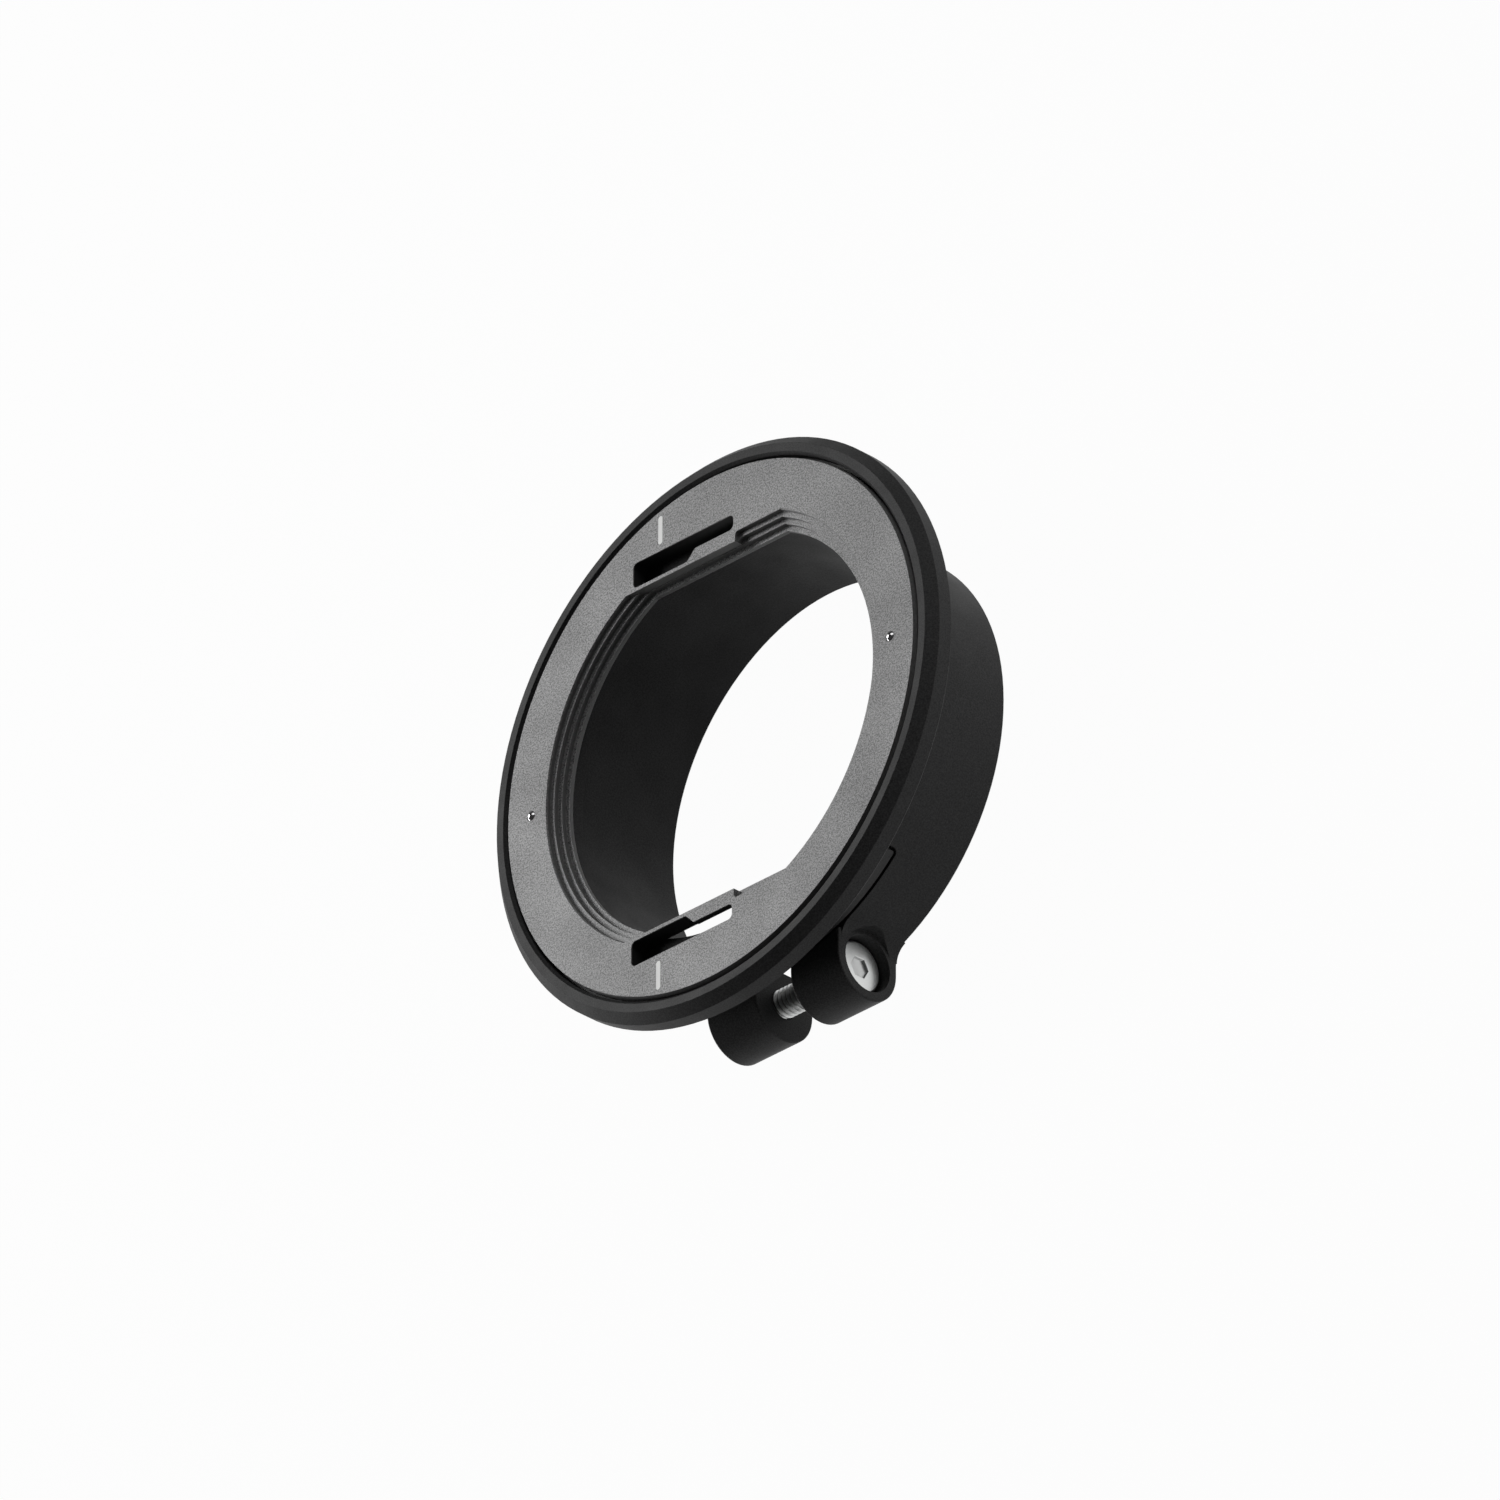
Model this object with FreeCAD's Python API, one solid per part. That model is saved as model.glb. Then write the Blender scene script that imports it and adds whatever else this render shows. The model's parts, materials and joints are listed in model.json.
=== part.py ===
import FreeCAD, Part
import math
import os

from FreeCAD import Vector

# Phone lens filter adapter, in millimetres. The optical axis is Z, and the rear rim of the barrel is at
# z = 0. The front face with its grey plate looks up, and the clamp lugs stand out towards -Y.

# Clamp barrel
bore_radius = 21.5
barrel_wall = 2.2
neck_height = 1.6
stop_lip_width = 0.45
stop_lip_height = 1.6
edge_break = 0.2

# Ring around the plate
lip_width = 0.88
lip_chamfer = 0.3
ring_chamfer_width = 0.96
ring_chamfer_height = 1.03
ring_floor = 0.85
ring_taper_height = 3.2
ring_root_fillet = 0.8

# Face plate and the groove around it
plate_thickness = 1.95
plate_land = 5.42
plate_rim_chamfer_width = 0.12
plate_rim_chamfer_height = 0.45
groove_width = 0.3
groove_depth = 1.1
plate_fit_clearance = 0.03

# Stepped opening in the plate, wider than the bore at the face
opening_lead = 0.9
opening_chamfer = 0.12
step_count = 3
step_tread = 0.55
step_rise = 0.5
flat_depth = 2.1
tab_depth = 3.14
tab_corner_radius = 0.4

# Hook slots, one at the top and one at the bottom
slot_left_x = -10.6
slot_length = 13.75
slot_wide_length = 7.4
slot_narrow_width = 1.65
slot_web = 0.39
slot_end_wall = 0.25
slot_corner_radius = 0.55
slot_ramp_radius = 0.2
bridge_thickness = 0.69

# Engraved index lines
index_x = -6.9
index_width = 0.6
index_length = 3.15
index_margin = 0.66
index_engraving = 0.12
index_fill_clearance = 0.01

# Detent balls and their springs
ball_radius = 0.6
ball_proud = 0.25
ball_inset = 2.16
ball_clearance = 0.05
ball_mouth_clearance = 0.04
spring_length = 2.2
spring_wire_radius = 0.09
spring_coil_radius = 0.44
spring_coils = 5
spring_gap = 0.02

# Clamp screw, a low socket head cap screw
screw_radius = 1.5
screw_length = 12.0
screw_tip_chamfer = 0.4
head_radius = 2.75
head_height = 2.0
head_chamfer = 0.25
hex_across_flats = 2.0
hex_depth = 0.5

# Clamp lugs, and the slit that frees the clamp band from the sloping web above it
lug_gap = 4.8
lug_length = 6.6
lug_wall = 0.95
lug_fillet = 2.0
lug_edge_radius = 0.2
screw_standoff = 1.0
head_recess = 1.1
head_clearance = 0.25
driver_relief = 0.4
shank_clearance = 0.2
thread_clearance = 0.05
slit_width = 0.33
slit_reach = 0.3
slit_drop = 0.4
slit_turn_up = 1.4
slit_corner_radius = 0.7
slit_half_angle = 43.3
web_angle = 26.0

# Radii that follow from the bore
barrel_radius = bore_radius + barrel_wall
stop_radius = bore_radius - stop_lip_width
opening_radius = bore_radius + opening_lead
plate_radius = opening_radius + plate_land
lip_radius = plate_radius + groove_width
lip_top_radius = lip_radius + lip_chamfer
ring_radius = lip_top_radius + lip_width + ring_chamfer_width
ball_x = opening_radius + ball_inset

# Heights that follow from the clamp band upwards
head_hole_radius = head_radius + head_clearance
lug_radius = head_hole_radius + lug_wall
lug_height = 2 * lug_radius
band_height = lug_height - slit_drop
web_z = band_height + slit_width
slit_top_z = band_height + slit_turn_up
barrel_height = slit_top_z + neck_height
ring_edge_z = barrel_height + ring_taper_height
seat_z = ring_edge_z + ring_floor
front_z = seat_z + plate_thickness

# Screw axis, and the lug's faces along X
screw_y = -(barrel_radius + screw_standoff)
screw_z = lug_radius
lug_inner_x = lug_gap / 2
lug_outer_x = lug_inner_x + lug_length
head_top_x = lug_outer_x - head_recess
head_seat_x = head_top_x - head_height
screw_tip_x = head_seat_x - screw_length

# Ball and spring heights
ball_z = front_z + ball_proud - ball_radius
ball_hole_radius = ball_radius + ball_clearance
spring_floor_z = ball_z - ball_radius - spring_length

# Cutting tools reach this far past the faces that they open
overcut = 1.0
Z_AXIS = Vector(0, 0, 1)
X_AXIS = Vector(1, 0, 0)


def revolved(points):
    """Turn a closed outline of (radius, height) points about Z."""
    corners = [Vector(radius, 0, height) for radius, height in points]
    outline = Part.makePolygon(corners + corners[:1])
    return Part.Face(outline).revolve(Vector(0, 0, 0), Z_AXIS, 360)


def cylinder_x(radius, x_start, x_end):
    """A round bar on the screw axis, from one x to another."""
    return Part.makeCylinder(radius, x_end - x_start, Vector(x_start, screw_y, screw_z), X_AXIS)


def slab(x_low, x_high, y_low, y_high, z_low, z_high):
    """A box between its lowest and highest corners."""
    return Part.makeBox(x_high - x_low, y_high - y_low, z_high - z_low, Vector(x_low, y_low, z_low))


def rounded_prism(corners, z_low, z_high):
    """Extrude a closed outline of (x, y, corner radius) points along Z."""
    edges = []
    starts = []
    ends = []
    for index, (x, y, radius) in enumerate(corners):
        here = Vector(x, y, z_low)
        before = corners[index - 1]
        after = corners[(index + 1) % len(corners)]
        to_before = (Vector(before[0], before[1], z_low) - here).normalize()
        to_after = (Vector(after[0], after[1], z_low) - here).normalize()
        half_angle = to_before.getAngle(to_after) / 2
        reach = radius / math.tan(half_angle)
        start = here + to_before * reach
        end = here + to_after * reach
        inwards = (to_before + to_after).normalize()
        middle = here + inwards * (radius / math.sin(half_angle) - radius)
        edges.append(Part.Arc(start, middle, end).toShape())
        starts.append(start)
        ends.append(end)
    for index, end in enumerate(ends):
        edges.append(Part.LineSegment(end, starts[(index + 1) % len(starts)]).toShape())
    outline = Part.Wire(Part.__sortEdges__(edges))
    return Part.Face(outline).extrude(Vector(0, 0, z_high - z_low))


def mirrored_pair(solid, normal):
    """The solid and its mirror image through the plane across the optical axis."""
    return [solid, solid.mirror(Vector(0, 0, 0), normal)]


def turned_body():
    """Ring, groove, plate seat and barrel, before the clamp is milled."""
    ring_outline = [
        (bore_radius + edge_break, 0),
        (barrel_radius - edge_break, 0),
        (barrel_radius, edge_break),
        (barrel_radius, barrel_height),
        (ring_radius - edge_break, ring_edge_z),
        (ring_radius, ring_edge_z + edge_break),
        (ring_radius, front_z - ring_chamfer_height),
        (ring_radius - ring_chamfer_width, front_z),
        (lip_top_radius, front_z),
        (lip_radius, front_z - lip_chamfer),
        (lip_radius, front_z - groove_depth),
        (plate_radius + plate_fit_clearance, front_z - groove_depth),
        (plate_radius + plate_fit_clearance, seat_z),
        (stop_radius, seat_z),
        (stop_radius, seat_z - stop_lip_height),
        (bore_radius, seat_z - stop_lip_height),
        (bore_radius, edge_break),
    ]
    body = revolved(ring_outline)
    roots = []
    for edge in body.Edges:
        box = edge.BoundBox
        flat = box.ZLength < 0.001
        if flat and abs(box.ZMin - barrel_height) < 0.001 and abs(box.XMax - barrel_radius) < 0.001:
            roots.append(edge)
    return body.makeFillet(ring_root_fillet, roots)


def lug():
    """The lug on the +X side: a block with a full-round end, rooted in the barrel's wall."""
    round_end = cylinder_x(lug_radius, lug_inner_x, lug_outer_x)
    straight_part = slab(lug_inner_x, lug_outer_x, screw_y, 0, 0, lug_height)
    block = round_end.fuse(straight_part).removeSplitter()
    end_edges = []
    for edge in block.Edges:
        box = edge.BoundBox
        if box.XLength < 0.001 and box.YMin < -0.001:
            end_edges.append(edge)
    block = block.makeFillet(lug_edge_radius, end_edges)
    root = Part.makeCylinder(bore_radius + barrel_wall / 2, lug_height)
    return block.cut(root)


def lug_blend():
    """Hollow fillet from the lug's outer face to the barrel, as high as the clamp band."""
    centre = Vector(lug_outer_x + lug_fillet, 0, 0)
    centre.y = -math.sqrt((barrel_radius + lug_fillet) ** 2 - centre.x ** 2)
    on_lug = Vector(lug_outer_x, centre.y, 0)
    on_barrel = centre * (barrel_radius / (barrel_radius + lug_fillet))
    towards_corner = ((on_lug + on_barrel) * 0.5 - centre).normalize()
    middle = centre + towards_corner * lug_fillet
    in_wall = on_barrel * ((bore_radius + barrel_wall / 2) / barrel_radius)
    in_lug = Vector(lug_outer_x - lug_wall, on_lug.y, 0)
    outline = Part.Wire([
        Part.Arc(on_lug, middle, on_barrel).toShape(),
        Part.makePolygon([on_barrel, in_wall, in_lug, on_lug]),
    ])
    return Part.Face(outline).extrude(Vector(0, 0, band_height))


def clamp_window(z_low, corner_radius, z_high):
    """The sector of the clamp side between two heights, with its two lower corners rounded."""
    half_angle = math.radians(slit_half_angle)
    far = 2 * ring_radius
    corners = [
        Vector(0, 0, z_low),
        Vector(-far * math.sin(half_angle), -far * math.cos(half_angle), z_low),
        Vector(far * math.sin(half_angle), -far * math.cos(half_angle), z_low),
    ]
    window = Part.Face(Part.makePolygon(corners + corners[:1])).extrude(Vector(0, 0, z_high - z_low))
    for side in (-1, 1):
        outwards = Vector(side * math.sin(half_angle), -math.cos(half_angle), 0)
        across = Vector(math.cos(half_angle), side * math.sin(half_angle), 0) * corner_radius
        start = outwards * (stop_radius - overcut)
        lowest = start + Vector(0, 0, z_low)
        level = start + Vector(0, 0, z_low + corner_radius)
        top = start + Vector(0, 0, z_high)
        outline = Part.Wire([
            Part.Arc(level - across, lowest, level + across).toShape(),
            Part.makePolygon([level + across, top + across, top - across, level - across]),
        ])
        window = window.fuse(Part.Face(outline).extrude(outwards * far))
    return window


def web():
    """Sloping web above the slit, from the barrel's wall out to the underside of the ring."""
    reach = (ring_edge_z - web_z) * math.tan(math.radians(web_angle))
    cone = revolved([
        (bore_radius, web_z),
        (barrel_radius, web_z),
        (barrel_radius + reach, ring_edge_z),
        (bore_radius, ring_edge_z),
    ])
    return cone.common(clamp_window(web_z, slit_corner_radius - slit_width, ring_edge_z))


def slit():
    """Cut through the barrel's wall between the clamp band and the web, turned up at both ends."""
    wall = revolved([
        (stop_radius - overcut, band_height - overcut),
        (barrel_radius + slit_reach, band_height - overcut),
        (barrel_radius + slit_reach, slit_top_z),
        (stop_radius - overcut, slit_top_z),
    ])
    return wall.common(clamp_window(band_height, slit_corner_radius, slit_top_z)).cut(web())


def clamp_body():
    """Ring, barrel and clamp lugs in one piece, with the screw holes and the spring pockets."""
    body = turned_body().fuse(web())
    for solid in mirrored_pair(lug(), X_AXIS) + mirrored_pair(lug_blend(), X_AXIS):
        body = body.fuse(solid)
    split = slab(-lug_inner_x, lug_inner_x, -ring_radius, 0, -overcut, slit_top_z)
    past_blend_x = lug_outer_x + lug_fillet + overcut
    head_hole = cylinder_x(head_hole_radius, head_seat_x, past_blend_x)
    driver_path = cylinder_x(head_hole_radius + driver_relief, lug_outer_x, past_blend_x)
    shank_hole = cylinder_x(screw_radius + shank_clearance, 0, head_seat_x + overcut)
    tapped_hole = cylinder_x(screw_radius + thread_clearance, -lug_outer_x - overcut, 0)
    for tool in (split, slit(), head_hole, driver_path, shank_hole, tapped_hole):
        body = body.cut(tool)
    pocket_height = seat_z - spring_floor_z
    for side in (-1, 1):
        place = Vector(side * ball_x, 0, spring_floor_z)
        body = body.cut(Part.makeCylinder(ball_hole_radius, pocket_height + overcut, place))
    return body.removeSplitter()


def opening_level(level, z_low, z_high):
    """The opening at one step: a circle with flats, narrowed by the tabs on its left half."""
    inset = level * step_tread
    radius = opening_radius - inset
    flat_y = opening_radius - flat_depth - inset
    tab_y = min(opening_radius - tab_depth, flat_y)
    tab_x = slot_left_x + slot_length + slot_end_wall
    corner = tab_corner_radius
    right_half = rounded_prism(
        [(tab_x, -flat_y, corner), (2 * radius, -flat_y, corner),
         (2 * radius, flat_y, corner), (tab_x, flat_y, corner)], z_low, z_high)
    left_half = slab(-2 * radius, tab_x + 2 * corner, -tab_y, tab_y, z_low, z_high)
    window = right_half.fuse(left_half)
    return window, Part.makeCylinder(radius, z_high - z_low, Vector(0, 0, z_low))


def opening_tools():
    """One cut for each step of the opening, with a fine chamfer on the arcs at the face."""
    tools = []
    for level in range(step_count + 1):
        top = front_z + overcut if level == 0 else front_z - level * step_rise
        bottom = front_z - (level + 1) * step_rise if level < step_count else seat_z - overcut
        window, disc = opening_level(level, bottom, top)
        tools.append(window.common(disc))
        if level == 0:
            place = Vector(0, 0, front_z - opening_chamfer)
            cone = Part.makeCone(opening_radius, opening_radius + opening_chamfer, opening_chamfer, place)
            tools.append(window.common(cone))
    return tools


def slot_tools():
    """The hook slot at the top: its outline through the face, and the wider pocket behind."""
    right_x = slot_left_x + slot_length
    outer_y = opening_radius
    wide_y = opening_radius - tab_depth + slot_web
    narrow_y = outer_y - slot_narrow_width
    ramp_x = slot_left_x + slot_wide_length
    end = slot_corner_radius
    ramp = slot_ramp_radius
    through = rounded_prism(
        [(slot_left_x, outer_y, end), (slot_left_x, wide_y, end), (ramp_x, wide_y, ramp),
         (ramp_x + narrow_y - wide_y, narrow_y, ramp), (right_x, narrow_y, end), (right_x, outer_y, end)],
        seat_z - overcut, front_z + overcut)
    pocket = rounded_prism(
        [(slot_left_x, outer_y, end), (slot_left_x, wide_y, end),
         (right_x, wide_y, end), (right_x, outer_y, end)],
        seat_z - overcut, front_z - bridge_thickness)
    return [through, pocket]


def index_line(width, z_low, z_high):
    """A round-ended bar on the upper half of the plate, at the engraved line's place."""
    radius = width / 2
    outer_y = plate_radius_at(index_x) - index_margin
    inner_y = outer_y - index_length
    height = z_high - z_low
    low = inner_y + index_width / 2
    high = outer_y - index_width / 2
    bar = slab(index_x - radius, index_x + radius, low, high, z_low, z_high)
    for y in (low, high):
        bar = bar.fuse(Part.makeCylinder(radius, height, Vector(index_x, y, z_low)))
    return bar.removeSplitter()


def plate_radius_at(x):
    """Half the plate's height at one x."""
    return math.sqrt(plate_radius ** 2 - x ** 2)


def ball_hole(side):
    """Hole for a ball and its spring, closed in at the face so that the ball stays in."""
    mouth_radius = math.sqrt(ball_radius ** 2 - (front_z - ball_z) ** 2) + ball_mouth_clearance
    lip_height = ball_hole_radius - mouth_radius
    bottom = Vector(side * ball_x, 0, seat_z - overcut)
    straight = Part.makeCylinder(ball_hole_radius, front_z - lip_height - bottom.z, bottom)
    lip_place = Vector(side * ball_x, 0, front_z - lip_height)
    lip = Part.makeCone(ball_hole_radius, mouth_radius, lip_height, lip_place)
    return straight.fuse(lip)


def face_plate():
    """Grey disc on the seat, with its stepped opening, hook slots, ball holes and index lines."""
    plate = revolved([
        (0, seat_z),
        (plate_radius, seat_z),
        (plate_radius, front_z - plate_rim_chamfer_height),
        (plate_radius - plate_rim_chamfer_width, front_z),
        (0, front_z),
    ])
    tools = opening_tools()
    paired = slot_tools()
    paired.append(index_line(index_width, front_z - index_engraving, front_z + overcut))
    for tool in paired:
        tools.extend(mirrored_pair(tool, Vector(0, 1, 0)))
    tools.extend([ball_hole(-1), ball_hole(1)])
    for tool in tools:
        plate = plate.cut(tool)
    return plate.removeSplitter()


def index_lines():
    """White enamel in the two engraved lines, level with the plate's face."""
    width = index_width - 2 * index_fill_clearance
    line = index_line(width, front_z - index_engraving, front_z)
    return Part.makeCompound(mirrored_pair(line, Vector(0, 1, 0)))


def detent_ball(side):
    return Part.makeSphere(ball_radius, Vector(side * ball_x, 0, ball_z))


def detent_spring(side):
    """Coil spring from the bottom of its pocket up to the ball."""
    reach = ball_radius + spring_wire_radius + spring_gap
    top = ball_z - math.sqrt(reach ** 2 - spring_coil_radius ** 2)
    bottom = spring_floor_z + spring_wire_radius + spring_gap
    height = top - bottom
    path = Part.Wire(Part.makeHelix(height / spring_coils, height, spring_coil_radius).Edges)
    wire_end = Part.makeCircle(spring_wire_radius, Vector(spring_coil_radius, 0, 0), Vector(0, 1, 0))
    spring = path.makePipeShell([Part.Wire(wire_end)], True, True)
    spring.translate(Vector(side * ball_x, 0, bottom))
    return spring


def clamp_screw():
    """Socket head screw across both lugs, with its head on the +X side."""
    outline = [
        (0, screw_tip_x),
        (screw_radius - screw_tip_chamfer, screw_tip_x),
        (screw_radius, screw_tip_x + screw_tip_chamfer),
        (screw_radius, head_seat_x),
        (head_radius, head_seat_x),
        (head_radius, head_top_x - head_chamfer),
        (head_radius - head_chamfer, head_top_x),
        (0, head_top_x),
    ]
    screw = revolved(outline)
    corner_radius = hex_across_flats / math.sqrt(3)
    corners = []
    for index in range(6):
        angle = math.radians(60 * index)
        corners.append(Vector(corner_radius * math.cos(angle), corner_radius * math.sin(angle),
                              head_top_x - hex_depth))
    hexagon = Part.Face(Part.makePolygon(corners + corners[:1]))
    screw = screw.cut(hexagon.extrude(Vector(0, 0, hex_depth + overcut)))
    screw.rotate(Vector(0, 0, 0), Vector(0, 1, 0), 90)
    screw.translate(Vector(0, screw_y, screw_z))
    return screw


def main():
    pieces = {
        "clamp_body": clamp_body(),
        "face_plate": face_plate(),
        "index_lines": index_lines(),
        "detent_ball_left": detent_ball(-1),
        "detent_ball_right": detent_ball(1),
        "detent_spring_left": detent_spring(-1),
        "detent_spring_right": detent_spring(1),
        "clamp_screw": clamp_screw(),
    }
    os.makedirs("parts", exist_ok=True)
    for node, shape in pieces.items():
        solids = len(shape.Solids)
        print(node, "valid" if shape.isValid() else "NOT VALID", solids, "solids", round(shape.Volume, 3))
        shape.exportStep("parts/" + node + ".step")


main()
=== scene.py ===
import json
import math

import bmesh
import bpy
from mathutils import Matrix, Vector


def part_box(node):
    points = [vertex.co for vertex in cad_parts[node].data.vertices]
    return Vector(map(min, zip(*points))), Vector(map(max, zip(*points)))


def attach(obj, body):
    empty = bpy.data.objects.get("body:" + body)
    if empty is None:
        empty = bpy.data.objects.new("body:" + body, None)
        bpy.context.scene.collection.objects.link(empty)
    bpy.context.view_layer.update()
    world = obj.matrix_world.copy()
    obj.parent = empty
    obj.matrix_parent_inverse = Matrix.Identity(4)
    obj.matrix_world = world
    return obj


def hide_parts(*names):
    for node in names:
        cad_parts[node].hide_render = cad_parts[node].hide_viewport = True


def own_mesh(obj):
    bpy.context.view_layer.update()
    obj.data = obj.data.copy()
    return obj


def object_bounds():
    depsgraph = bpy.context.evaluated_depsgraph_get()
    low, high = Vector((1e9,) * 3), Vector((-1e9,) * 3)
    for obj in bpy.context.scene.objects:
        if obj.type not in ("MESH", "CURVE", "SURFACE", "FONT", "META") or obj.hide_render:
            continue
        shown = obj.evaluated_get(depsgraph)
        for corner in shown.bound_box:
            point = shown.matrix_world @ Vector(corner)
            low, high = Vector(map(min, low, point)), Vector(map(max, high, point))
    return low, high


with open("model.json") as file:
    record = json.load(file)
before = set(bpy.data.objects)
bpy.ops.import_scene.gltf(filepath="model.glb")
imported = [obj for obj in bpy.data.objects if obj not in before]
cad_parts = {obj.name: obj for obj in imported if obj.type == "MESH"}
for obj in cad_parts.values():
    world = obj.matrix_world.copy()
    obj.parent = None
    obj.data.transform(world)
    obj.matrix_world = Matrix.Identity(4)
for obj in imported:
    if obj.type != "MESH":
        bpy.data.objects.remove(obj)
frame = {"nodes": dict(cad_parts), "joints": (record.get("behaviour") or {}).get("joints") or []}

MM = 0.001
CAD_LOW, CAD_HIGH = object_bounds()
NODES = frame["nodes"]
SCENE = bpy.context.scene

# The photograph's camera, placed from the centre of the plate's face
PHOTO_PIXELS = 1500
FOCAL_PIXELS = 31456.0
SENSOR_MM = 36.0
VIEW_YAW = 0.79182
VIEW_PITCH = -0.52098
VIEW_ROLL = -0.00325
VIEW_DISTANCE = 3.0261
PLATE_OFFSET_RIGHT = -3.893 * MM
PLATE_OFFSET_UP = 2.251 * MM
CLIP_NEAR = 0.1
CLIP_FAR = 20.0

# Thread and socket of the clamp screw
THREAD_PITCH = 0.55 * MM
THREAD_DEPTH = 0.307 * MM
THREAD_RADIUS = 1.5 * MM
TIP_CHAMFER = 0.4 * MM
HEAD_HEIGHT = 2.0 * MM
HEAD_ROUNDING = 0.25 * MM
HEAD_UNDER_EDGE = 0.1 * MM
HEX_ACROSS_FLATS = 2.0 * MM
HEX_DEPTH = 0.3 * MM
HEX_LEAD = 0.06 * MM
SOCKET_POINT = 0.1 * MM
# Reach and strength of the painted shade in the socket
SOCKET_LIMIT = 1.3 * MM
SOCKET_SHADE = 0.35

# One turn of the thread's outline: shares of the pitch and of the thread's depth
THREAD_PROFILE = [(0.0, 0.0), (0.25, 0.0), (0.5625, 1.0), (0.6875, 1.0)]

# Hook slots of the face plate: painted shade, black on their walls below a narrow grey rim
SLOT_CENTRE_X = -3.725 * MM
SLOT_CENTRE_Y = 21.02 * MM
SLOT_LENGTH = 13.75 * MM
SLOT_WIDTH = 2.75 * MM
SLOT_DEPTH = 3.0 * MM
SLOT_RIM = 0.2 * MM
SLOT_MARGIN = 0.08 * MM

# How finely the pieces made here are divided
THREAD_COLUMNS = 72
HEAD_COLUMNS = 96
ROUNDING_STEPS = 5
BALL_SEGMENTS = 64
BALL_RINGS = 32
MERGE_DISTANCE = 0.0005 * MM
SHARP_ANGLE = math.radians(35)

# Darkest and lightest colour of each finish, the colours of special faces, and the colours of painted shade
BLACK_TONES = (0.013, 0.013, 0.0132), (0.034, 0.034, 0.0344)
GREY_TONES = (0.085, 0.085, 0.0858), (0.37, 0.37, 0.371)
GREY_WALL = (0.22, 0.22, 0.2206)
# painted shade: black for the deep walls of the hook slots
SLOT_PAINTED_SHADE = (0.035, 0.035, 0.0352)
ENAMEL_TONES = (0.84, 0.84, 0.83), (0.9, 0.9, 0.89)
SCREW_TONES = (0.64, 0.65, 0.645), (0.75, 0.76, 0.755)
# painted shade for the roots of the thread and the socket
SCREW_PAINTED_SHADE = (0.36, 0.36, 0.36)
BALL_TONES = (0.72, 0.72, 0.73), (0.78, 0.78, 0.79)
WIRE_TONES = (0.36, 0.36, 0.37), (0.46, 0.46, 0.47)

# Lowest and highest roughness of each finish
ANODISED_ROUGHNESS = 0.5, 0.58
ENAMEL_ROUGHNESS = 0.4, 0.5
SCREW_ROUGHNESS = 0.3, 0.4
BALL_ROUGHNESS = 0.06, 0.1
WIRE_ROUGHNESS = 0.25, 0.35

# Grain of the finishes: how wide, how high, and the radius that breaks the edges
BLAST_GRAIN = 0.16 * MM
BLACK_GRAIN_HEIGHT = 0.004 * MM
GREY_GRAIN_HEIGHT = 0.001 * MM
ANODISED_EDGE = 0.05 * MM
BLACK_CLOUD = 4.0 * MM
GREY_CLOUD = 6.0 * MM
ENAMEL_GRAIN = 0.2 * MM
SCREW_GRAIN = 0.12 * MM
SCREW_GRAIN_HEIGHT = 0.002 * MM
SCREW_EDGE = 0.008 * MM
BALL_CLOUD = 0.3 * MM
WIRE_GRAIN = 0.05 * MM
BEVEL_SAMPLES = 4
NOISE_LOW = 0.3
NOISE_HIGH = 0.7

# Studio: the floor's paint, the share of it that glows white, and the grey of the room
FLOOR_HALF = 6.0
FLOOR_PAINT = (0.45, 0.45, 0.45)
FLOOR_PAINT_MIRRORED = (0.95, 0.95, 0.95)
FLOOR_GLOW = 0.97
FLOOR_GLOW_MIRRORED = 0.94
ROOM_COLOUR = (0.035, 0.035, 0.035)


def joint_named(name):
    """The record's joint of that name."""
    return next(joint for joint in frame["joints"] if joint["name"] == name)


def new_material(name):
    """An empty node material with its shader and output."""
    material = bpy.data.materials.new(name)
    material.use_nodes = True
    return material, material.node_tree.nodes, material.node_tree.links


def object_noise(nodes, links, grain, detail=2.0):
    """Noise in the part's own frame, with grains of about the given size."""
    place = nodes.new("ShaderNodeTexCoord")
    noise = nodes.new("ShaderNodeTexNoise")
    noise.inputs["Scale"].default_value = 1.0 / grain
    noise.inputs["Detail"].default_value = detail
    links.new(place.outputs["Object"], noise.inputs["Vector"])
    return noise.outputs["Fac"]


def spread(nodes, links, factor, low, high):
    """Map the middle of a noise to the range from low to high."""
    remap = nodes.new("ShaderNodeMapRange")
    remap.inputs["From Min"].default_value = NOISE_LOW
    remap.inputs["From Max"].default_value = NOISE_HIGH
    remap.inputs["To Min"].default_value = low
    remap.inputs["To Max"].default_value = high
    links.new(factor, remap.inputs["Value"])
    return remap.outputs["Result"]


def colour_mix(nodes, links, factor, first, second):
    """A colour between two, each of them a fixed colour or the output of a node."""
    mix = nodes.new("ShaderNodeMix")
    mix.data_type = "RGBA"
    for socket, colour in (("A", first), ("B", second)):
        if isinstance(colour, tuple):
            mix.inputs[socket].default_value = (*colour, 1)
        else:
            links.new(colour, mix.inputs[socket])
    links.new(factor, mix.inputs["Factor"])
    return mix.outputs["Result"]


def calculate(nodes, links, operation, *values):
    """The result of a math node, each value a number or the output of a node."""
    node = nodes.new("ShaderNodeMath")
    node.operation = operation
    for socket, value in zip(node.inputs, values):
        if isinstance(value, float):
            socket.default_value = value
        else:
            links.new(value, socket)
    return node.outputs["Value"]


def softened_normal(nodes, links, edge_radius, grain_height, factor):
    """Edges broken by a small radius, with the grain raised on top."""
    bevel = nodes.new("ShaderNodeBevel")
    bevel.samples = BEVEL_SAMPLES
    bevel.inputs["Radius"].default_value = edge_radius
    bump = nodes.new("ShaderNodeBump")
    bump.inputs["Strength"].default_value = 1.0
    bump.inputs["Distance"].default_value = grain_height
    links.new(factor, bump.inputs["Height"])
    links.new(bevel.outputs["Normal"], bump.inputs["Normal"])
    return bump.outputs["Normal"]


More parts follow.
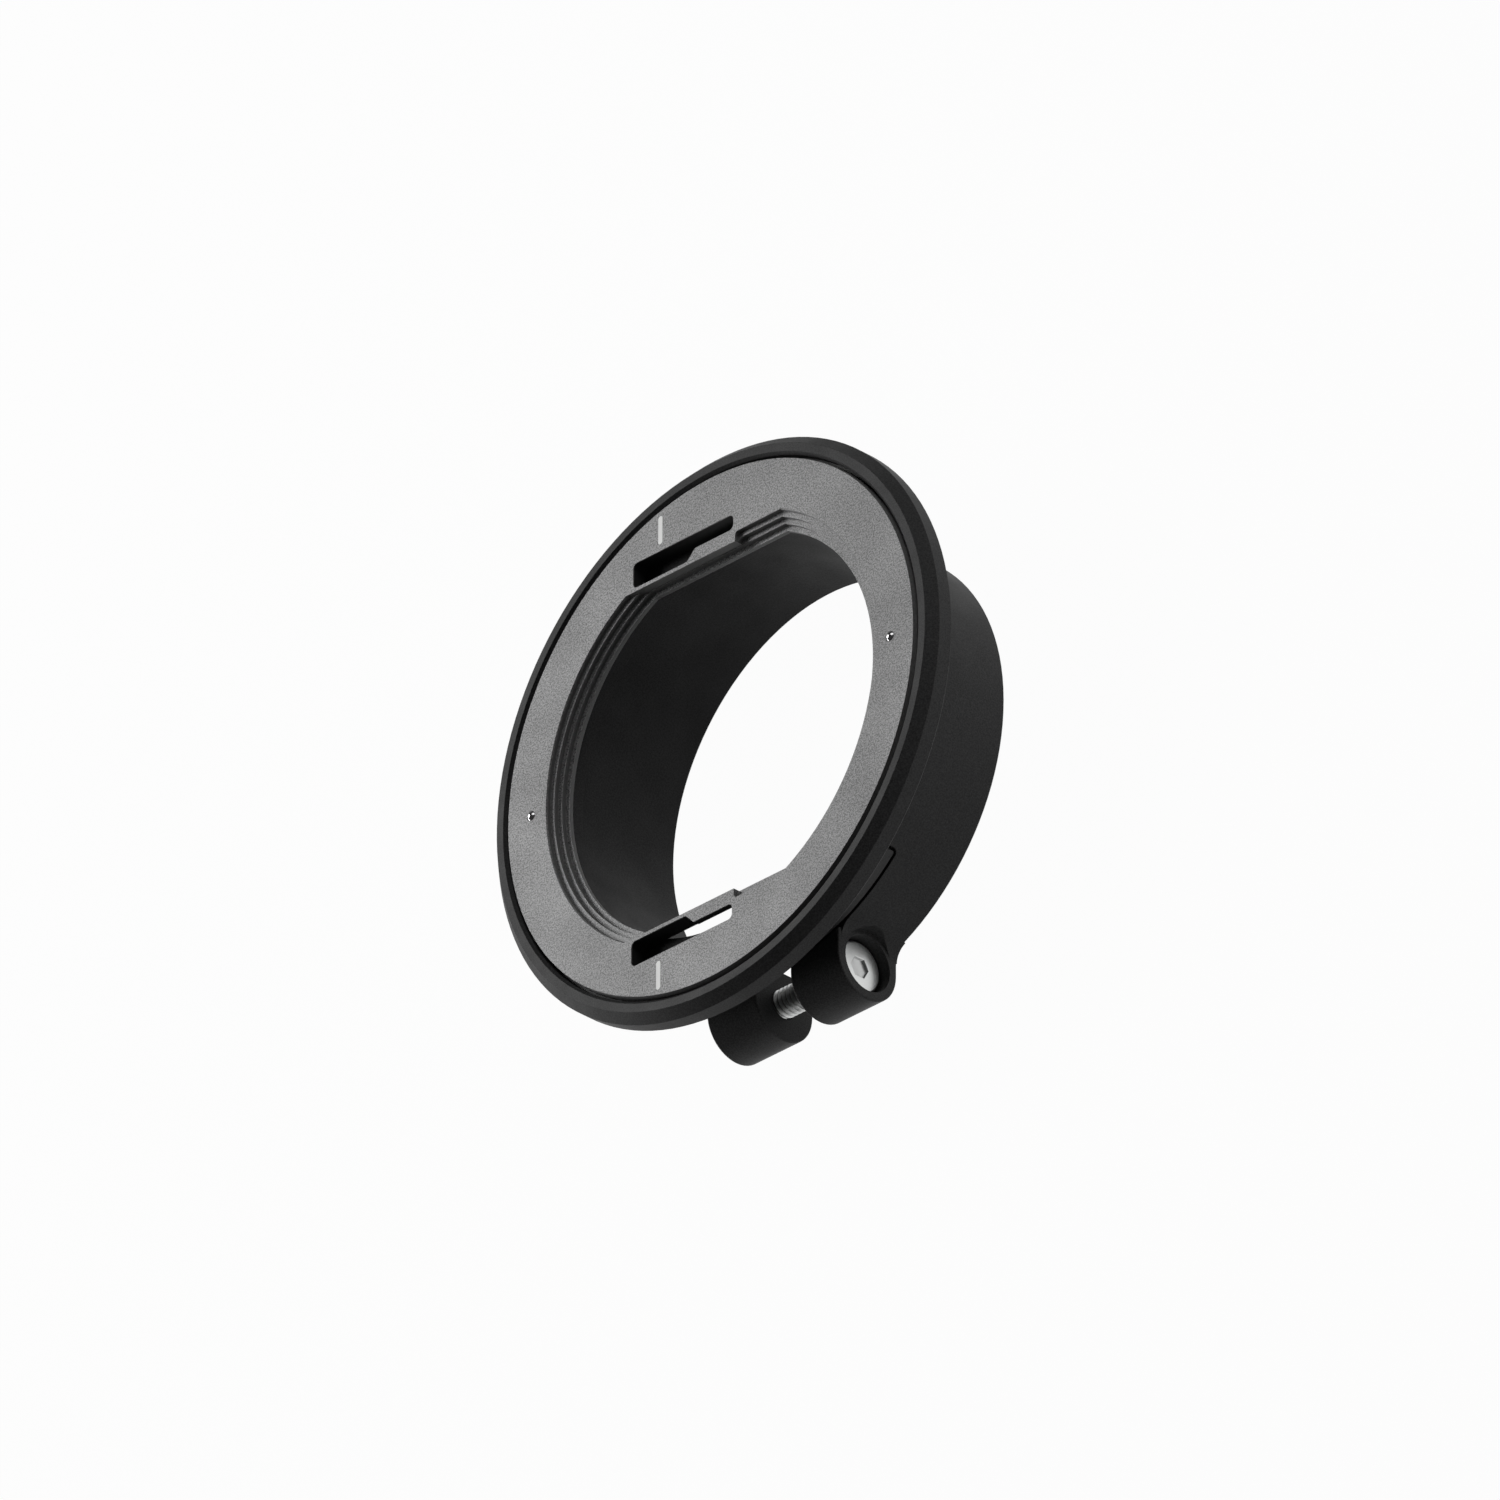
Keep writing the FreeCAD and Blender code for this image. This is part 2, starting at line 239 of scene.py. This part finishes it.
def shaded_slot_walls(nodes, links):
    """One on the walls of the hook slots below the plate's edge, where the black painted shade goes, and
    nought elsewhere.
    """
    face_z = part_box("face_plate")[1].z
    place = nodes.new("ShaderNodeTexCoord")
    axes = nodes.new("ShaderNodeSeparateXYZ")
    links.new(place.outputs["Object"], axes.inputs["Vector"])
    from_middle = calculate(nodes, links, "ABSOLUTE", axes.outputs["Y"])
    limits = [
        (axes.outputs["X"], SLOT_CENTRE_X, SLOT_LENGTH / 2),
        (from_middle, SLOT_CENTRE_Y, SLOT_WIDTH / 2),
        (axes.outputs["Z"], face_z - SLOT_RIM - SLOT_DEPTH / 2, SLOT_DEPTH / 2),
    ]
    inside = 1.0
    for value, middle, half in limits:
        within = calculate(nodes, links, "COMPARE", value, middle, half + SLOT_MARGIN)
        inside = calculate(nodes, links, "MULTIPLY", inside, within)
    return inside


def black_anodised():
    """Matte black anodising on a finely blasted ground."""
    material, nodes, links = new_material("black_anodised_fine_matte")
    shader = nodes["Principled BSDF"]
    grain = object_noise(nodes, links, BLAST_GRAIN, detail=1.0)
    cloud = object_noise(nodes, links, BLACK_CLOUD)
    speckle = spread(nodes, links, grain, 0.0, 1.0)
    colour = colour_mix(nodes, links, speckle, *BLACK_TONES)
    links.new(colour, shader.inputs["Base Color"])
    links.new(spread(nodes, links, cloud, *ANODISED_ROUGHNESS), shader.inputs["Roughness"])
    normal = softened_normal(nodes, links, ANODISED_EDGE, BLACK_GRAIN_HEIGHT, grain)
    links.new(normal, shader.inputs["Normal"])
    shader.inputs["Specular IOR Level"].default_value = 0.15
    return material


def grey_blasted():
    """Grey anodised aluminium: speckled by blasting on the face, even on walls, with black painted shade on
    the walls of the slots.
    """
    material, nodes, links = new_material("grey_bead_blasted")
    shader = nodes["Principled BSDF"]
    grain = object_noise(nodes, links, BLAST_GRAIN, detail=1.0)
    cloud = object_noise(nodes, links, GREY_CLOUD)
    speckle = spread(nodes, links, grain, 0.0, 1.0)
    speckled = colour_mix(nodes, links, speckle, *GREY_TONES)
    facing = nodes.new("ShaderNodeTexCoord")
    tilt = nodes.new("ShaderNodeSeparateXYZ")
    links.new(facing.outputs["Normal"], tilt.inputs["Vector"])
    ground = colour_mix(nodes, links, tilt.outputs["Z"], GREY_WALL, speckled)
    # painted shade: the slot walls turn black below the grey rim
    colour = colour_mix(nodes, links, shaded_slot_walls(nodes, links), ground, SLOT_PAINTED_SHADE)
    links.new(colour, shader.inputs["Base Color"])
    links.new(spread(nodes, links, cloud, *ANODISED_ROUGHNESS), shader.inputs["Roughness"])
    normal = softened_normal(nodes, links, ANODISED_EDGE, GREY_GRAIN_HEIGHT, grain)
    links.new(normal, shader.inputs["Normal"])
    shader.inputs["Metallic"].default_value = 0.15
    shader.inputs["Specular IOR Level"].default_value = 0.4
    return material


def white_enamel():
    """White filler in the engraved lines."""
    material, nodes, links = new_material("white_enamel_fill")
    shader = nodes["Principled BSDF"]
    grain = object_noise(nodes, links, ENAMEL_GRAIN)
    colour = colour_mix(nodes, links, grain, *ENAMEL_TONES)
    links.new(colour, shader.inputs["Base Color"])
    links.new(spread(nodes, links, grain, *ENAMEL_ROUGHNESS), shader.inputs["Roughness"])
    return material


def screw_shade_mask(nodes, links, axis, seat_x, top_x):
    """Nought at the root of the thread, one at its crests and on the head, and less in the socket: the mask
    of the painted shade.
    """
    place = nodes.new("ShaderNodeTexCoord")
    from_axis = nodes.new("ShaderNodeVectorMath")
    from_axis.operation = "SUBTRACT"
    from_axis.inputs[1].default_value = axis
    links.new(place.outputs["Object"], from_axis.inputs[0])
    across = nodes.new("ShaderNodeVectorMath")
    across.operation = "MULTIPLY"
    across.inputs[1].default_value = (0, 1, 1)
    links.new(from_axis.outputs["Vector"], across.inputs[0])
    radius = nodes.new("ShaderNodeVectorMath")
    radius.operation = "LENGTH"
    links.new(across.outputs["Vector"], radius.inputs[0])
    height = nodes.new("ShaderNodeMapRange")
    height.inputs["From Min"].default_value = THREAD_RADIUS - THREAD_DEPTH
    height.inputs["From Max"].default_value = THREAD_RADIUS
    links.new(radius.outputs["Value"], height.inputs["Value"])
    axes = nodes.new("ShaderNodeSeparateXYZ")
    links.new(place.outputs["Object"], axes.inputs["Vector"])
    x = axes.outputs["X"]
    on_head = calculate(nodes, links, "GREATER_THAN", x, seat_x)
    crests = calculate(nodes, links, "MAXIMUM", height.outputs["Result"], on_head)
    below_top = calculate(nodes, links, "COMPARE", x, top_x - HEX_DEPTH, HEX_DEPTH - HEX_LEAD / 2)
    near_axis = calculate(nodes, links, "LESS_THAN", radius.outputs["Value"], SOCKET_LIMIT)
    in_socket = calculate(nodes, links, "MULTIPLY", below_top, near_axis)
    return calculate(nodes, links, "MULTIPLY_ADD", in_socket, -SOCKET_SHADE, crests)


def screw_steel(axis, seat_x, top_x):
    """Dull stainless steel, with painted shade in the roots of the thread and in the socket."""
    material, nodes, links = new_material("screw_stainless_steel")
    shader = nodes["Principled BSDF"]
    grain = object_noise(nodes, links, SCREW_GRAIN, detail=3.0)
    unshaded = colour_mix(nodes, links, grain, *SCREW_TONES)
    tone = screw_shade_mask(nodes, links, axis, seat_x, top_x)
    # painted shade: the roots of the thread and the socket are mixed towards the dark colour
    links.new(colour_mix(nodes, links, tone, SCREW_PAINTED_SHADE, unshaded), shader.inputs["Base Color"])
    links.new(spread(nodes, links, grain, *SCREW_ROUGHNESS), shader.inputs["Roughness"])
    normal = softened_normal(nodes, links, SCREW_EDGE, SCREW_GRAIN_HEIGHT, grain)
    links.new(normal, shader.inputs["Normal"])
    shader.inputs["Metallic"].default_value = 1.0
    return material


def bare_steel(name, grain_size, tones, roughness):
    """Plain steel whose colour and roughness vary a little."""
    material, nodes, links = new_material(name)
    shader = nodes["Principled BSDF"]
    grain = object_noise(nodes, links, grain_size)
    links.new(colour_mix(nodes, links, grain, *tones), shader.inputs["Base Color"])
    links.new(spread(nodes, links, grain, *roughness), shader.inputs["Roughness"])
    shader.inputs["Metallic"].default_value = 1.0
    return material


def ball_steel():
    """Polished bearing steel."""
    return bare_steel("ball_polished_steel", BALL_CLOUD, BALL_TONES, BALL_ROUGHNESS)


def spring_steel():
    """Drawn spring wire, dark and smooth."""
    return bare_steel("spring_drawn_wire", WIRE_GRAIN, WIRE_TONES, WIRE_ROUGHNESS)


def finish_node(name, material):
    """Give a CAD node its material."""
    mesh = NODES[name].data
    mesh.materials.clear()
    mesh.materials.append(material)


def piece_from(mesh_data, name, material):
    """A scene object from a bmesh, smooth but for its sharp edges."""
    bmesh.ops.recalc_face_normals(mesh_data, faces=mesh_data.faces)
    mesh = bpy.data.meshes.new(name)
    mesh_data.to_mesh(mesh)
    mesh_data.free()
    mesh.shade_smooth()
    mesh.set_sharp_from_angle(angle=SHARP_ANGLE)
    mesh.materials.append(material)
    piece = bpy.data.objects.new(name, mesh)
    SCENE.collection.objects.link(piece)
    return piece


def around_x(centre, x, radius, angle):
    """A point at one x, radius and angle about the screw's axis."""
    return centre + Vector((x, radius * math.cos(angle), radius * math.sin(angle)))


def add_thread(mesh_data, tip_x, seat_x, centre):
    """A closed rod with a helical thread, its tip chamfered and its root end let into the head."""
    turns = int((seat_x - tip_x) / THREAD_PITCH) + 2
    root_radius = THREAD_RADIUS - THREAD_DEPTH
    end_x = seat_x + TIP_CHAMFER
    columns = []
    for column in range(THREAD_COLUMNS):
        share = column / THREAD_COLUMNS
        line = []
        for turn in range(-1, turns):
            for phase, height in THREAD_PROFILE:
                x = tip_x + THREAD_PITCH * (turn + phase + share)
                x = min(max(x, tip_x), end_x)
                radius = root_radius + THREAD_DEPTH * height
                radius = min(radius, THREAD_RADIUS - TIP_CHAMFER + x - tip_x)
                radius = min(radius, root_radius - TIP_CHAMFER + end_x - x)
                line.append(mesh_data.verts.new(around_x(centre, x, radius, 2 * math.pi * share)))
        columns.append(line)
    rows = len(columns[0])
    for column, this_line in enumerate(columns):
        next_line = columns[(column + 1) % THREAD_COLUMNS]
        shift = len(THREAD_PROFILE) if column == THREAD_COLUMNS - 1 else 0
        for row in range(rows - 1 - shift):
            mesh_data.faces.new((this_line[row], this_line[row + 1],
                                 next_line[row + shift + 1], next_line[row + shift]))
    bmesh.ops.remove_doubles(mesh_data, verts=mesh_data.verts, dist=MERGE_DISTANCE)
    bmesh.ops.dissolve_degenerate(mesh_data, edges=mesh_data.edges, dist=MERGE_DISTANCE)
    open_edges = [edge for edge in mesh_data.edges if edge.is_boundary]
    bmesh.ops.holes_fill(mesh_data, edges=open_edges, sides=0)


def hex_radius(angle):
    """Distance from the socket's axis to its hexagonal wall, with corners towards +Z and -Z."""
    sixth = math.pi / 3
    from_flat = (angle + sixth / 2) % sixth - sixth / 2
    return HEX_ACROSS_FLATS / 2 / math.cos(from_flat)


def add_head(mesh_data, seat_x, top_x, head_radius, centre):
    """The screw's head: underside, rounded rim, flat top and hexagon socket."""
    rings = [
        (seat_x, lambda angle: head_radius - HEAD_UNDER_EDGE),
        (seat_x + HEAD_UNDER_EDGE, lambda angle: head_radius),
    ]
    for index in range(ROUNDING_STEPS + 1):
        turn = math.pi / 2 * index / ROUNDING_STEPS
        x = top_x - HEAD_ROUNDING + HEAD_ROUNDING * math.sin(turn)
        radius = head_radius - HEAD_ROUNDING + HEAD_ROUNDING * math.cos(turn)
        rings.append((x, lambda angle, radius=radius: radius))
    rings.append((top_x, lambda angle: hex_radius(angle) + HEX_LEAD))
    rings.append((top_x - HEX_LEAD, hex_radius))
    rings.append((top_x - HEX_DEPTH, hex_radius))
    angles = [2 * math.pi * index / HEAD_COLUMNS for index in range(HEAD_COLUMNS)]
    loops = []
    for x, radius_at in rings:
        loops.append([mesh_data.verts.new(around_x(centre, x, radius_at(angle), angle)) for angle in angles])
    for lower, upper in zip(loops, loops[1:]):
        for index in range(HEAD_COLUMNS):
            after = (index + 1) % HEAD_COLUMNS
            mesh_data.faces.new((lower[index], lower[after], upper[after], upper[index]))
    mesh_data.faces.new(list(reversed(loops[0])))
    point = mesh_data.verts.new(centre + Vector((top_x - HEX_DEPTH - SOCKET_POINT, 0, 0)))
    for index in range(HEAD_COLUMNS):
        mesh_data.faces.new((loops[-1][index], loops[-1][(index + 1) % HEAD_COLUMNS], point))


def clamp_screw():
    """Threaded screw in place of the plain one."""
    low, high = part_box("clamp_screw")
    centre = Vector(joint_named("screw_turn")["pos_m"])
    seat_x = high.x - HEAD_HEIGHT
    mesh_data = bmesh.new()
    add_thread(mesh_data, low.x, seat_x, centre)
    add_head(mesh_data, seat_x, high.x, (high.y - low.y) / 2, centre)
    piece = piece_from(mesh_data, "threaded_screw", screw_steel(centre, seat_x, high.x))
    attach(piece, "screw")
    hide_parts("clamp_screw")


def detent_ball(side, material):
    """Finely divided ball in place of the faceted one."""
    node = "detent_ball_" + side
    low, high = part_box(node)
    mesh_data = bmesh.new()
    radius = (high.z - low.z) / 2
    place = Matrix.Translation((low + high) / 2)
    bmesh.ops.create_uvsphere(mesh_data, u_segments=BALL_SEGMENTS, v_segments=BALL_RINGS,
                              radius=radius, matrix=place)
    piece = piece_from(mesh_data, "polished_ball_" + side, material)
    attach(piece, side + "_ball")
    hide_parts(node)


def detent_spring(side, material):
    """Coil spring behind its ball, held at one length on the adapter, with its foot at rest in the pocket.
    """
    node = "detent_spring_" + side
    mesh_data = bmesh.new()
    mesh_data.from_mesh(NODES[node].data)
    bmesh.ops.remove_doubles(mesh_data, verts=mesh_data.verts, dist=MERGE_DISTANCE)
    piece = piece_from(mesh_data, "coil_spring_" + side, material)
    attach(piece, "adapter")
    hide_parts(node)
    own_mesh(piece)


def dress_object():
    """Materials for the CAD nodes, and the finer screw, balls and springs."""
    finish_node("clamp_body", black_anodised())
    finish_node("face_plate", grey_blasted())
    finish_node("index_lines", white_enamel())
    wire = spring_steel()
    polish = ball_steel()
    for side in ("left", "right"):
        detent_spring(side, wire)
        detent_ball(side, polish)
    clamp_screw()


def view_axes():
    """The photograph's right, up and towards-the-viewer directions in the part's frame."""
    turn = Matrix.Rotation(-VIEW_YAW, 3, "Y")
    tilt = Matrix.Rotation(VIEW_PITCH, 3, "X")
    roll = Matrix.Rotation(VIEW_ROLL, 3, "Z")
    to_view = roll @ tilt @ turn
    return to_view.row[0].copy(), to_view.row[1].copy(), to_view.row[2].copy()


def add_camera():
    """A long lens at the photograph's place."""
    right, up, back = view_axes()
    plate_centre = Vector((0, 0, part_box("face_plate")[1].z))
    data = bpy.data.cameras.new("photo_camera")
    data.sensor_width = SENSOR_MM
    data.lens = FOCAL_PIXELS / PHOTO_PIXELS * SENSOR_MM
    data.clip_start = CLIP_NEAR
    data.clip_end = CLIP_FAR
    camera = bpy.data.objects.new("photo_camera", data)
    place = plate_centre - right * PLATE_OFFSET_RIGHT - up * PLATE_OFFSET_UP + back * VIEW_DISTANCE
    axes = Matrix((right, up, back)).transposed()
    camera.matrix_world = Matrix.Translation(place) @ axes.to_4x4()
    SCENE.collection.objects.link(camera)
    SCENE.camera = camera


def add_softbox(name, towards, distance, width, height, watts):
    """An area light that looks at the part from one direction."""
    data = bpy.data.lights.new(name, "AREA")
    data.shape = "RECTANGLE"
    data.size = width
    data.size_y = height
    data.energy = watts
    lamp = bpy.data.objects.new(name, data)
    direction = Vector(towards).normalized()
    target = Vector((0, 0, (CAD_LOW.z + CAD_HIGH.z) / 2))
    lamp.location = target + direction * distance
    lamp.rotation_euler = (-direction).to_track_quat("-Z", "Y").to_euler()
    lamp.visible_camera = False
    SCENE.collection.objects.link(lamp)


def floor_material():
    """White to the eye and in reflections, with a little of the part's shadow left on it."""
    material, nodes, links = new_material("studio_floor")
    nodes.remove(nodes["Principled BSDF"])
    output = nodes["Material Output"]
    path = nodes.new("ShaderNodeLightPath")
    to_eye = path.outputs["Is Camera Ray"]
    through_glass = path.outputs["Is Transmission Ray"]
    in_mirror = path.outputs["Is Glossy Ray"]
    paint = nodes.new("ShaderNodeBsdfDiffuse")
    tone = colour_mix(nodes, links, in_mirror, FLOOR_PAINT, FLOOR_PAINT_MIRRORED)
    links.new(tone, paint.inputs["Color"])
    glow = nodes.new("ShaderNodeEmission")
    glow.inputs["Strength"].default_value = 1.0
    direct = calculate(nodes, links, "MAXIMUM", to_eye, through_glass)
    seen = calculate(nodes, links, "MULTIPLY", direct, FLOOR_GLOW)
    share = calculate(nodes, links, "MULTIPLY_ADD", in_mirror, FLOOR_GLOW_MIRRORED, seen)
    surface = nodes.new("ShaderNodeMixShader")
    links.new(share, surface.inputs["Fac"])
    links.new(paint.outputs["BSDF"], surface.inputs[1])
    links.new(glow.outputs["Emission"], surface.inputs[2])
    links.new(surface.outputs["Shader"], output.inputs["Surface"])
    return material


def add_floor():
    """A wide floor under the barrel's rear rim."""
    half = FLOOR_HALF
    corners = [(-half, -half, 0), (half, -half, 0), (half, half, 0), (-half, half, 0)]
    mesh = bpy.data.meshes.new("floor")
    mesh.from_pydata(corners, [], [(0, 1, 2, 3)])
    mesh.materials.append(floor_material())
    floor = bpy.data.objects.new("floor", mesh)
    floor.location.z = CAD_LOW.z
    SCENE.collection.objects.link(floor)


def add_studio():
    """Dim room, white floor and five softboxes."""
    world = bpy.data.worlds.new("studio")
    world.use_nodes = True
    background = world.node_tree.nodes["Background"]
    background.inputs["Color"].default_value = (*ROOM_COLOUR, 1)
    background.inputs["Strength"].default_value = 1.0
    SCENE.world = world
    SCENE.view_settings.view_transform = "Standard"
    add_floor()
    add_softbox("key_left", towards=(-0.7, 0.32, 0.5), distance=0.6, width=0.32, height=0.32, watts=2.6)
    add_softbox("back_right", towards=(0.42, 0.66, 0.62), distance=0.5, width=0.36, height=0.36, watts=0.5)
    add_softbox("low_left", towards=(-0.95, -0.16, 0.2), distance=0.45, width=0.3, height=0.16, watts=0.4)
    add_softbox("low_right", towards=(0.985, 0.17, 0.0), distance=0.25, width=0.3, height=0.012, watts=0.17)
    add_softbox("low_front", towards=(0.55, -0.83, 0.0), distance=0.25, width=0.3, height=0.012, watts=0.1)


dress_object()
add_studio()
add_camera()
